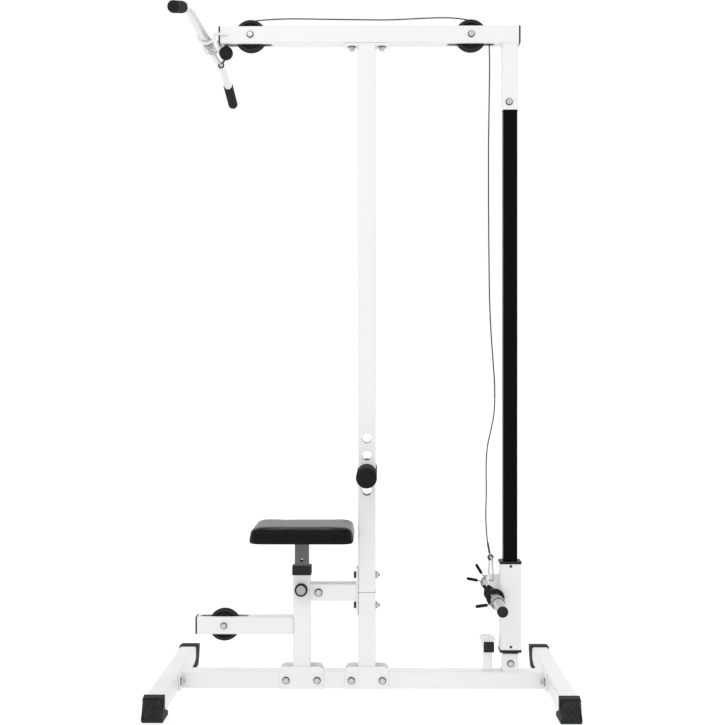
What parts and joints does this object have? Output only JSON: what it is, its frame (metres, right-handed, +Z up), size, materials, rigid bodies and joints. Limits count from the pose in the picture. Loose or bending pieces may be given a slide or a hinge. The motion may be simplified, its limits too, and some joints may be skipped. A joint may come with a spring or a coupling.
{
  "type": "plate-loaded lat pulldown tower",
  "caption": "Free-standing cable tower with overhead pulldown bar, low pulley arm, padded seat, thigh rollers and a guided plate-loaded weight carriage.",
  "frame": {"origin": "on the floor, at the centre of the footprint", "axes": "+X towards the weight carriage, +Y across the machine away from the seat knob, +Z up"},
  "size_m": [1.153, 1.1488, 1.9428],
  "materials": {
    "white_paint": "satin powder coat",
    "black_paint": "satin",
    "black_plastic": "moulded, matte",
    "black_rubber": "matte",
    "black_vinyl": "grained, soft sheen",
    "black_foam": "closed-cell foam, matte",
    "zinc_steel": "bright zinc plate",
    "grey_steel": "satin grey",
    "cable_coat": "smooth nylon coat over wire rope"
  },
  "bodies": {
    "frame": {"base_rail": "white_paint", "front_foot": "white_paint", "rear_foot": "white_paint", "foot_cap_front_near": "black_rubber", "foot_cap_front_far": "black_rubber", "foot_cap_rear_near": "black_rubber", "foot_cap_rear_far": "black_rubber", "lower_upright": "white_paint", "upper_upright": "white_paint", "upright_insert": "grey_steel", "seat_post": "white_paint", "low_pulley_arm": "white_paint", "seat_arm": "white_paint", "top_beam": "white_paint", "beam_cap_front": "black_plastic", "beam_cap_rear": "black_plastic", "arm_cap": "black_plastic", "guide_tube": "black_paint", "bottom_buffer": "black_rubber", "carriage_stand": "white_paint", "cable_top": "cable_coat", "cable_drop": "cable_coat", "cable_front": "cable_coat", "seat_collar": "black_plastic", "roller_bar": "zinc_steel", "front_pulley_bolt": "zinc_steel", "rear_pulley_bolt": "zinc_steel", "low_pulley_bolt": "zinc_steel", "bar_rest_near": "white_paint", "bar_rest_far": "white_paint"},
    "weight_carriage": {"carriage_sleeve": "white_paint", "carriage_bush_top": "black_plastic", "carriage_bush_bottom": "black_plastic", "weight_horns": "zinc_steel", "horn_cap_near": "black_plastic", "horn_cap_far": "black_plastic", "horn_stop_near": "black_rubber", "horn_stop_far": "black_rubber", "carriage_hook": "zinc_steel", "cable_eye_rear": "cable_coat"},
    "carriage_gate": {"carriage_hook_gate": "zinc_steel"},
    "collar_near": {"spring_collar_near": "zinc_steel"},
    "collar_far": {"spring_collar_far": "zinc_steel"},
    "pull_end": {"stopper_ball": "black_rubber", "cable_eye_front": "cable_coat"},
    "bar_link": {"bar_hook": "zinc_steel", "bar_hanger": "zinc_steel"},
    "pull_bar": {"lat_bar": "zinc_steel", "grip_near": "black_rubber", "grip_far": "black_rubber"},
    "bar_gate": {"bar_hook_gate": "zinc_steel"},
    "front_pulley": {"front_pulley": "black_plastic"},
    "rear_pulley": {"rear_pulley": "black_plastic"},
    "low_pulley": {"low_pulley": "black_plastic"},
    "seat": {"seat_tube": "grey_steel", "seat_pad": "black_vinyl"},
    "seat_pin": {"seat_knob": "black_plastic"},
    "roller_near": {"roller_near": "black_foam"},
    "roller_far": {"roller_far": "black_foam"}
  },
  "joints": [
    {"name": "carriage_lift", "type": "slide", "parent": "frame", "child": "weight_carriage", "axis": [0, 0, 1], "range_m": [0, 1.28], "deforming": ["cable_drop"]},
    {"name": "cable_pull", "type": "slide", "parent": "frame", "child": "pull_end", "axis": [0, 0, -1], "range_m": [0, 1.28], "deforming": ["cable_front"]},
    {"name": "bar_swing", "type": "hinge", "parent": "pull_end", "child": "bar_link", "pos_m": [-0.4085, 0, 1.8055], "axis": [0, -1, 0], "range_deg": [0, 149.5]},
    {"name": "bar_turn", "type": "hinge", "parent": "bar_link", "child": "pull_bar", "pos_m": [-0.447, 0, 1.871], "axis": [0.014, 0.9999, 0], "range_deg": [0, 149.5]},
    {"name": "bar_gate_hinge", "type": "hinge", "parent": "bar_link", "child": "bar_gate", "pos_m": [-0.41575, -0.0069, 1.81783], "axis": [-0.8621, 0, -0.5067], "range_deg": [0, 15], "stiffness_Nm_per_rad": 0.05, "springref_deg": -17.19},
    {"name": "carriage_gate_hinge", "type": "hinge", "parent": "weight_carriage", "child": "carriage_gate", "pos_m": [0.36444, 0.00585, 0.37385], "axis": [-0.848, -0.5299, 0], "range_deg": [0, 7.5], "stiffness_Nm_per_rad": 0.05, "springref_deg": -17.19},
    {"name": "front_pulley_spin", "type": "hinge", "parent": "frame", "child": "front_pulley", "pos_m": [-0.3225, 0, 1.888], "axis": [0, -1, 0], "continuous": true},
    {"name": "rear_pulley_spin", "type": "hinge", "parent": "frame", "child": "rear_pulley", "pos_m": [0.3105, 0, 1.888], "axis": [0, -1, 0], "continuous": true},
    {"name": "low_pulley_spin", "type": "hinge", "parent": "frame", "child": "low_pulley", "pos_m": [-0.398, 0, 0.194], "axis": [0, -1, 0], "continuous": true},
    {"name": "collar_near_slide", "type": "slide", "parent": "weight_carriage", "child": "collar_near", "axis": [0, -1, 0], "range_m": [0, 0.15]},
    {"name": "collar_far_slide", "type": "slide", "parent": "weight_carriage", "child": "collar_far", "axis": [0, 1, 0], "range_m": [0, 0.04]},
    {"name": "seat_height", "type": "slide", "parent": "frame", "child": "seat", "axis": [0, 0, 1], "range_m": [-0.04, 0.12]},
    {"name": "seat_pin_pull", "type": "slide", "parent": "frame", "child": "seat_pin", "axis": [0, -1, 0], "range_m": [0, 0.008], "stiffness_N_per_m": 500, "springref_m": -0.01},
    {"name": "roller_near_spin", "type": "hinge", "parent": "frame", "child": "roller_near", "pos_m": [0.012, -0.1, 0.631], "axis": [0, -1, 0], "continuous": true},
    {"name": "roller_far_spin", "type": "hinge", "parent": "frame", "child": "roller_far", "pos_m": [0.012, 0.1, 0.631], "axis": [0, -1, 0], "continuous": true}
  ],
  "couplings": [
    {"joint": "cable_pull", "follows": "carriage_lift", "ratio": 1},
    {"joint": "bar_swing", "follows": "carriage_lift", "rad_per_m": 2.0385},
    {"joint": "bar_turn", "follows": "carriage_lift", "rad_per_m": 2.0385},
    {"joint": "front_pulley_spin", "follows": "carriage_lift", "rad_per_m": 23.781},
    {"joint": "rear_pulley_spin", "follows": "carriage_lift", "rad_per_m": 23.781}
  ]
}
